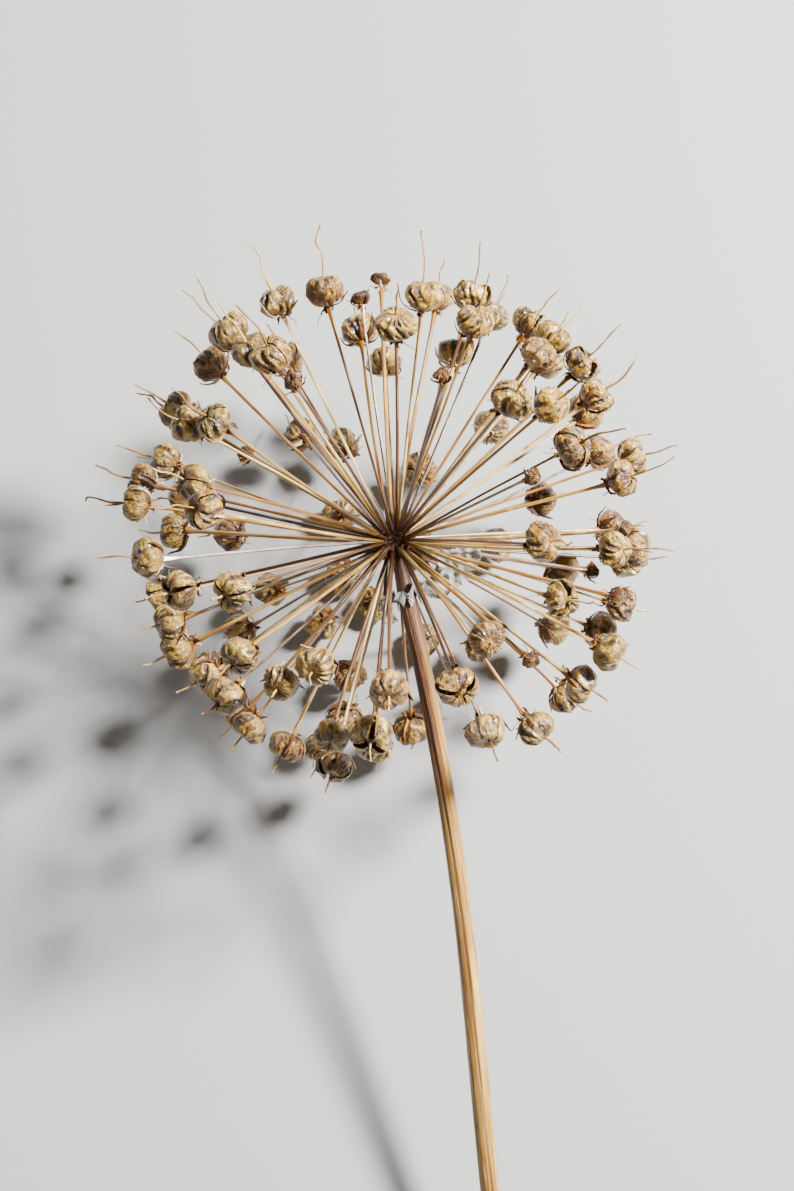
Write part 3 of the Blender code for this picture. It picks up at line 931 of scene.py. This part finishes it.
def make_receptacle(hub, florets, materials):
    """A knob with a low collar round each stalk's root, and dry scales between them."""
    rng = random.Random(11)
    piece = Piece("umbel_base")
    around, polar = lattice(64, (0.02 * math.pi, 0.98 * math.pi), 40)
    way = round_axis(np.sin(polar), around, np.cos(polar))
    bulge = np.zeros(polar.shape)
    for floret in florets[::2]:
        root = np.array(floret.root.normalized())
        near = np.arccos(np.clip(way @ root, -1, 1))
        bulge = np.maximum(bulge, smoothstep(0.26, 0.1, near))
    rough = crinkle(rng, around, polar, 8, 11)
    rows = np.array(hub) + way * (KNOB_RADIUS * (0.88 + 0.16 * bulge + 0.035 * rough))[..., None]
    piece.add(rows, 0, crease=1 - bulge)
    for _ in range(KNOB_SCALES):
        direction = unit(scatter(rng, 1))
        if direction @ np.array(-TOP) > 0.75:
            continue
        side = unit(np.cross(direction, scatter(rng, 1)))
        length = rng.uniform(1.2, 3.0) * MM
        path = [np.array(hub) + direction * KNOB_RADIUS * 0.9]
        path.append(path[0] + (direction + side * rng.uniform(-0.3, 0.3)) * length * 0.5)
        path.append(path[0] + (direction + side * rng.uniform(-0.6, 0.6)) * length)
        path = rows_along(path, 7)
        widths = MM * rng.uniform(0.4, 0.9) * (1 - np.linspace(0, 1, 7) ** 2) + 0.08 * MM
        piece.add(strip(path, widths, 0.06 * MM, side, cup=0.3), flat_ends=True)
    return piece.make(materials, "receptacle", "receptacle")


def stem_path(hub, count, start_at):
    """Points down the stem's middle, at even steps, from a distance below the hub."""
    line = np.array([tuple(RIGHT * right + UP * up + hub) for right, up in stem_line()])
    where = np.linspace(start_at / STEM_LENGTH * STEM_STEPS, STEM_STEPS, count)
    return np.stack([np.interp(where, np.arange(len(line)), line[:, k]) for k in range(3)], -1)


def make_stem(hub, materials):
    """The scape: a rind with flats, ribs and one deep furrow that winds slowly round it."""
    rng = random.Random(23)
    piece = Piece("scape")
    rows_count, sides = 240, 64
    path = stem_path(hub, rows_count, 2.6 * MM)
    angle, along = lattice(sides, (0, 1), rows_count)
    turned = angle + 1.6 * along
    furrow = np.exp(-((np.angle(np.exp(1j * (turned - FURROW_AT))) / 0.13) ** 2))
    furrow *= smoothstep(0.0, 0.25, along) * (0.75 + 0.25 * np.sin(9 * along + 1))
    flats = 0.035 * np.cos(3 * turned + 0.6) + 0.018 * np.cos(7 * turned + 2)
    ribs = 0.012 * crinkle(rng, turned, 3 * along, 7, 26, seams=True)
    lumps = 0.02 * crinkle(rng, 0 * turned, 14 * along, 5, 3)
    radius = STEM_TOP_RADIUS + (STEM_END_RADIUS - STEM_TOP_RADIUS) * along
    neck = 1 - 0.28 * smoothstep(0.05, 0.0, along)
    radii = radius * neck * (1 + flats + ribs + lumps - 0.16 * furrow)
    rows = tube(path, radii, sides, tuple(FRONT))
    length = along * STEM_LENGTH / MM
    grain = round_axis(2, turned, length)
    # Painted shade in the furrow.
    crease = np.clip(0.9 * furrow, 0, 1)
    # Painted shade: the stem's left face is drawn darker; the scape's material reads this as tone.
    painted_shade = smoothstep(0.35, 0.85, np.cos(angle - SHADED_FACE_AT)) * 0.8
    rind = slice(rows_count - 1)
    piece.add(rows[rind], 0, grain[rind], crease=crease[rind], along=along[rind], tone=painted_shade[rind])
    make_cut_end(piece, rows[-1], path[-1], path[-1] - path[-2], rng)
    return piece.make(materials, "flower_stem", "flower_stem", sharp=60)


def make_cut_end(piece, rim, middle, way, rng):
    """The cut: a ragged rim of rind round pith that has shrunk back a little."""
    way = unit(way)
    rings = []
    for scale, depth in ((1.0, -0.9), (0.985, 0.0), (0.86, 0.05), (0.8, -0.28), (0.4, -0.2)):
        ring = middle + (rim - middle) * scale + way * depth * MM
        jag = np.array([rng.uniform(-0.06, 0.1) for _ in range(len(rim))]) * (depth > -0.1)
        rings.append(ring + way * (jag * MM)[:, None])
    piece.add(np.array(rings), 1, tone=0.2)


def drawn(points, plane):
    """Points of a drawing in millimetres, in the scene."""
    return (points * MM) @ plane[:3, :3].T + plane[:3, 3]


def sheet(outline, steps, across, rng, plane, crumple, thickness=0.1):
    """A crumpled sheet between two edges, given as (x, y) in millimetres, in the stem's plane."""
    first = rows_along([(x, y, 0) for x, y in outline[0]], steps)
    second = rows_along([(x, y, 0) for x, y in outline[1]], steps)
    share = np.linspace(0, 1, across)[None, :, None]
    flat = first[:, None] * (1 - share) + second[:, None] * share
    a, b = flat[..., 0], flat[..., 1]
    waves = np.zeros(a.shape)
    for _ in range(7):
        direction = rng.uniform(0, math.pi)
        pitch = rng.uniform(0.5, 2.2)
        phase = rng.uniform(0, 6)
        wave = np.sin(pitch * (a * math.cos(direction) + b * math.sin(direction)) + phase)
        waves += (1 - 1.7 * np.abs(wave)) / pitch
    rim = np.minimum(share[..., 0], 1 - share[..., 0]) * 2
    tear = np.array([rng.uniform(-0.35, 0.35) for _ in range(a.size)]).reshape(a.shape)
    tear = tear * (rim < 0.15)
    flat = np.stack([a + tear, b + tear[:, ::-1], waves * crumple], -1)
    lift = np.array([0, 0, thickness / 2])
    return drawn(shell(flat + lift, flat - lift), plane)


def stem_plane(hub):
    """Axes of a drawing in the stem's plane: x to the head's right, y up it, z to the front."""
    down = RIGHT * math.sin(STEM_START_LEAN) - UP * math.cos(STEM_START_LEAN)
    plane = np.eye(4)
    plane[:3, 0], plane[:3, 1], plane[:3, 2] = -down.cross(FRONT), -down, FRONT
    plane[:3, 3] = hub
    return plane


def make_spathe(hub, materials):
    """The torn papery leaf that wrapped the young head: a flag, a shred and a collar."""
    rng = random.Random(5)
    plane = stem_plane(hub)
    flag = Piece("spathe_flag")
    lower = [(2.4, -9.4), (3.8, -11.4), (6.6, -12.4), (9.2, -10.9)]
    lower += [(12.0, -10.2), (14.4, -7.7), (16.0, -6.0)]
    upper = [(2.2, -8.2), (4.0, -8.4), (6.0, -7.4), (8.6, -4.9)]
    upper += [(11.4, -3.0), (14.0, -2.9), (15.6, -3.6)]
    flag.add(sheet((lower, upper), 46, 20, rng, plane, 0.35), flat_ends=True)
    shred = [(4.4, -8.2), (6.4, -6.4), (8.4, -3.0), (9.6, -1.6)]
    shred_edge = [(4.8, -9.0), (7.2, -7.6), (9.8, -5.0), (10.6, -2.6)]
    tilted = plane.copy()
    tilted[:3, 3] += plane[:3, 2] * 0.9 * MM
    flag.add(sheet((shred, shred_edge), 24, 9, rng, tilted, 0.3), flat_ends=True)
    flag.make(materials, "spathe", "spathe_right_valve")
    rag = Piece("spathe_shred")
    lower = [(-2.3, -9.6), (-3.6, -12.0), (-3.0, -14.2), (-4.4, -15.0)]
    upper = [(-2.6, -8.6), (-4.8, -9.4), (-5.8, -12.0), (-5.6, -14.4)]
    rag.add(sheet((lower, upper), 30, 12, rng, plane, 0.3), flat_ends=True)
    rag.make(materials, "spathe", "spathe_left_valve")
    collar = Piece("spathe_collar")
    around, up = np.meshgrid(np.linspace(0, 2 * math.pi, 110), np.linspace(0, 1, 16))
    top = 1.3 * crinkle(rng, around, 0 * around, 7, 9)
    low = 0.9 * crinkle(rng, around, 0 * around, 6, 11)
    lean = np.clip(0.6 + 0.6 * crinkle(rng, around, 0 * around, 4, 5), 0.1, 1.4)
    pleats = 0.16 * crinkle(rng, around, 2 * up, 7, 22, seams=True) * (0.3 + up)
    flare = 2.32 + pleats.clip(-0.1, 1) + lean * (0.15 + 1.5 * up**2)
    level = -10.2 - 0.9 * (1 - up) + low * (1 - up) + up * (0.9 + top) + 0.25 * pleats
    outer, inner = (
        round_axis(radius, around, level)[..., (0, 2, 1)] for radius in (flare, flare - 0.08)
    )
    collar.add(drawn(shell(outer, inner), plane), flat_ends=True)
    collar.make(materials, "spathe", "spathe_ring")


# Stage


def make_floor():
    """A plain pale floor, wide enough to fill the picture."""
    mesh = bpy.data.meshes.new("floor")
    far = FLOOR_REACH
    corners = [(-far, -far, 0), (far, -far, 0), (far, far, 0), (-far, far, 0)]
    mesh.from_pydata(corners, [], [(0, 1, 2, 3)])
    floor = bpy.data.objects.new("floor", mesh)
    bpy.context.scene.collection.objects.link(floor)
    paint = Paint("floor_paint", Roughness=0.85, Specular_IOR_Level=0.2)
    mesh.materials.append(paint.finish(FLOOR_COLOUR))


def add_lamp(name, lamp, target):
    """An area lamp that faces its target from a distance."""
    data = bpy.data.lights.new(name, "AREA")
    data.shape = "DISK"
    data.size = lamp.size
    data.energy = lamp.power
    made = bpy.data.objects.new(name, data)
    bpy.context.scene.collection.objects.link(made)
    direction = RIGHT * lamp.right + UP * lamp.up + FRONT * lamp.front
    made.location = target + direction.normalized() * lamp.distance
    made.rotation_euler = direction.to_track_quat("Z", "Y").to_euler()


def make_camera(hub):
    """Looks square onto the head's front, with the stem running down out of the picture."""
    data = bpy.data.cameras.new("camera")
    camera = bpy.data.objects.new("camera", data)
    bpy.context.scene.collection.objects.link(camera)
    data.sensor_fit = "VERTICAL"
    data.sensor_height = SENSOR
    data.lens = SENSOR * CAMERA_DISTANCE / PICTURE_HEIGHT
    data.clip_start = 0.01
    centre = hub - UP * HUB_ABOVE_CENTRE + RIGHT * HUB_LEFT_OF_CENTRE
    columns = Matrix((RIGHT, UP, FRONT)).transposed()
    camera.matrix_world = Matrix.Translation(centre + FRONT * CAMERA_DISTANCE) @ columns.to_4x4()
    bpy.context.scene.camera = camera


def make_stage(hub):
    """The floor, the lamps, a weak even light from all round, and the camera."""
    make_floor()
    for name, lamp in LAMPS.items():
        add_lamp(name, lamp, hub)
    world = bpy.data.worlds.new("studio")
    bpy.context.scene.world = world
    world.use_nodes = True
    background = world.node_tree.nodes["Background"]
    background.inputs["Color"].default_value = (1, 1, 1, 1)
    background.inputs["Strength"].default_value = WORLD_LIGHT
    make_camera(hub)


def main():
    low, high = (Vector(corner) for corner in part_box("receptacle"))
    hub = (low + high) / 2

    capsule_paint = [capsule_skin(), shrunk_skin()]
    stalk_paint, tepal_paint, style_paint = [stalk_skin()], [tepal_skin()], [style_skin()]
    florets = grow_florets()
    rng = random.Random(2)
    for i in range(PAIRS):
        node = f"floret_pair_{i + 1:02d}"
        stalks = Piece(f"stalks_{i + 1:02d}")
        tepals = Piece(f"tepals_{i + 1:02d}")
        styles = Piece(f"styles_{i + 1:02d}")
        for k in range(2):
            floret = florets[2 * i + k]
            add_stalk(stalks, floret, hub, rng, k)
            add_tepals(tepals, floret, hub, rng)
            add_style(styles, floret, hub, rng)
            make_capsule(2 * i + k + 1, node, floret, hub, rng, capsule_paint)
        stalks.make(stalk_paint, "seed_capsule", node)
        tepals.make(tepal_paint, "seed_capsule", node)
        if styles.count:
            styles.make(style_paint, "seed_capsule", node)
    make_receptacle(hub, florets, [receptacle_skin()])
    make_stem(hub, [scape_skin(), pith_skin()])
    make_spathe(hub, [spathe_skin()])
    make_stage(hub)

    bpy.context.view_layer.update()


main()
